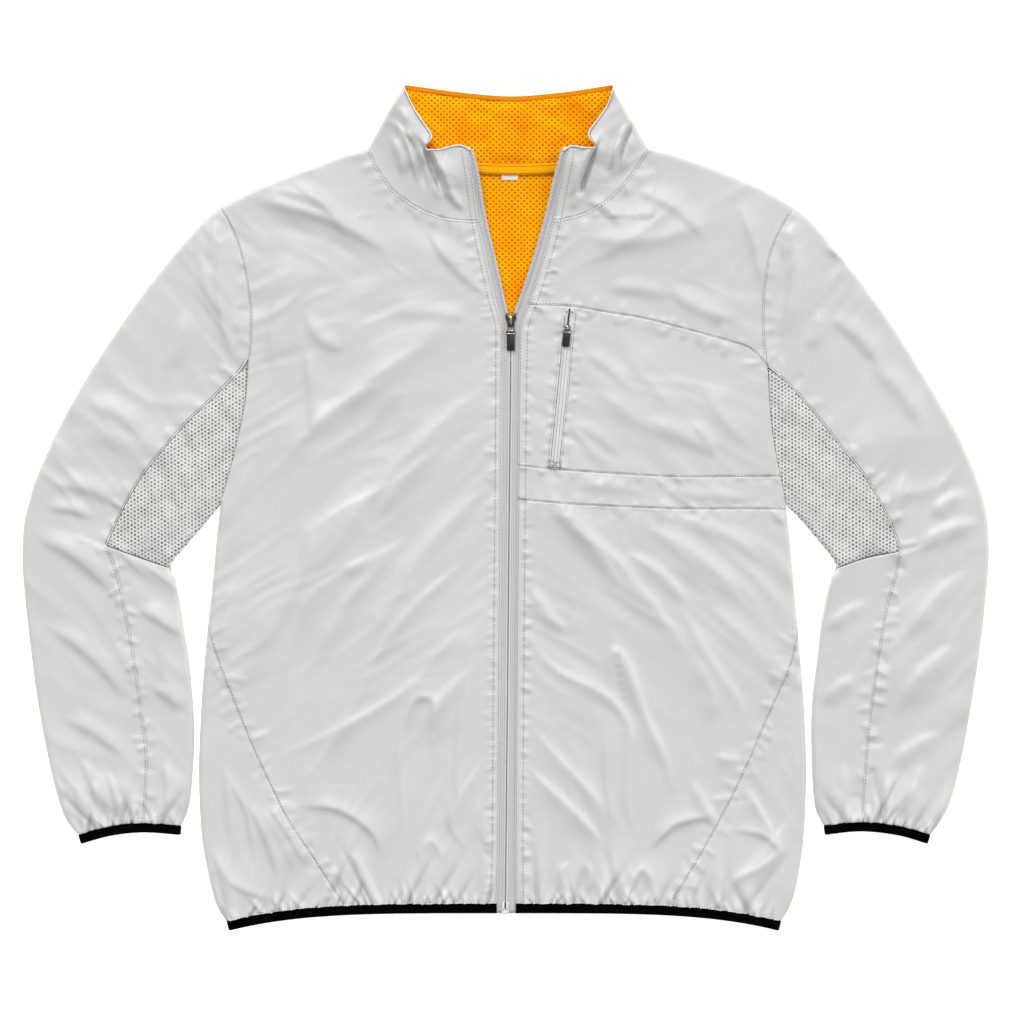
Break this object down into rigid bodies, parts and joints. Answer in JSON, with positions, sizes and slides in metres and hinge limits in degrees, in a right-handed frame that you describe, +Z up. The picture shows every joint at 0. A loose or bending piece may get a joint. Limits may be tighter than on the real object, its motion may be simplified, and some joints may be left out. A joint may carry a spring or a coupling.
{
  "type": "windbreaker jacket",
  "caption": "Light silver-grey windbreaker laid flat face up, with a full front zip, a stand collar, a zipped chest pocket, an orange mesh lining, grey underarm mesh and black bound hem and cuffs.",
  "frame": {"origin": "middle of the garment's bounding box at its underside, which lies on the surface", "axes": "+X across the garment towards its wearer's left side, +Y up the garment towards the collar, +Z up from the surface, out of the front"},
  "size_m": [0.9195, 0.8046, 0.0177],
  "materials": {
    "shell": "light silver-grey woven polyester with a soft sheen",
    "underarm_mesh": "off-white open mesh",
    "lining_mesh": "orange-yellow mesh lining",
    "binding": "black elastic binding",
    "zip_tape": "grey zip tape",
    "slider_metal": "dark gunmetal plate",
    "pull_rubber": "black moulded rubber",
    "white_trim": "off-white trim"
  },
  "bodies": {
    "jacket": {"back": "shell", "back_lining": "lining_mesh", "collar_back": "shell", "collar_front_left": "shell", "collar_front_right": "shell", "collar_lining": "lining_mesh", "cuff_binding_left": "binding", "cuff_binding_right": "binding", "front_left_band": "shell", "front_left_chest": "shell", "front_left_lower": "shell", "front_left_yoke": "shell", "front_right": "shell", "hem_binding": "binding", "neck_label": "white_trim", "neck_tape": "lining_mesh", "pocket_slider": "slider_metal", "pocket_tape": "zip_tape", "side_panel_left": "shell", "side_panel_right": "shell", "sleeve_back_left": "shell", "sleeve_back_right": "shell", "sleeve_mesh_left": "underarm_mesh", "sleeve_mesh_right": "underarm_mesh", "sleeve_outer_left": "shell", "sleeve_outer_right": "shell", "sleeve_under_left": "shell", "sleeve_under_right": "shell", "zip_box": "white_trim", "zip_slider": "slider_metal", "zip_tape_left": "zip_tape", "zip_tape_right": "zip_tape"},
    "main_pull": {"zip_link": "slider_metal", "zip_tab": "pull_rubber"},
    "pocket_pull": {"pocket_link": "slider_metal", "pocket_tab": "pull_rubber"}
  },
  "joints": [
    {"name": "main_pull_hinge", "type": "hinge", "parent": "jacket", "child": "main_pull", "pos_m": [0.00495, 0.17655, 0.00835], "axis": [-1, 0, 0], "range_deg": [0, 150]},
    {"name": "pocket_pull_hinge", "type": "hinge", "parent": "jacket", "child": "pocket_pull", "pos_m": [0.05867, 0.16985, 0.01047], "axis": [-0.9956, 0.0941, 0], "range_deg": [0, 150]}
  ]
}
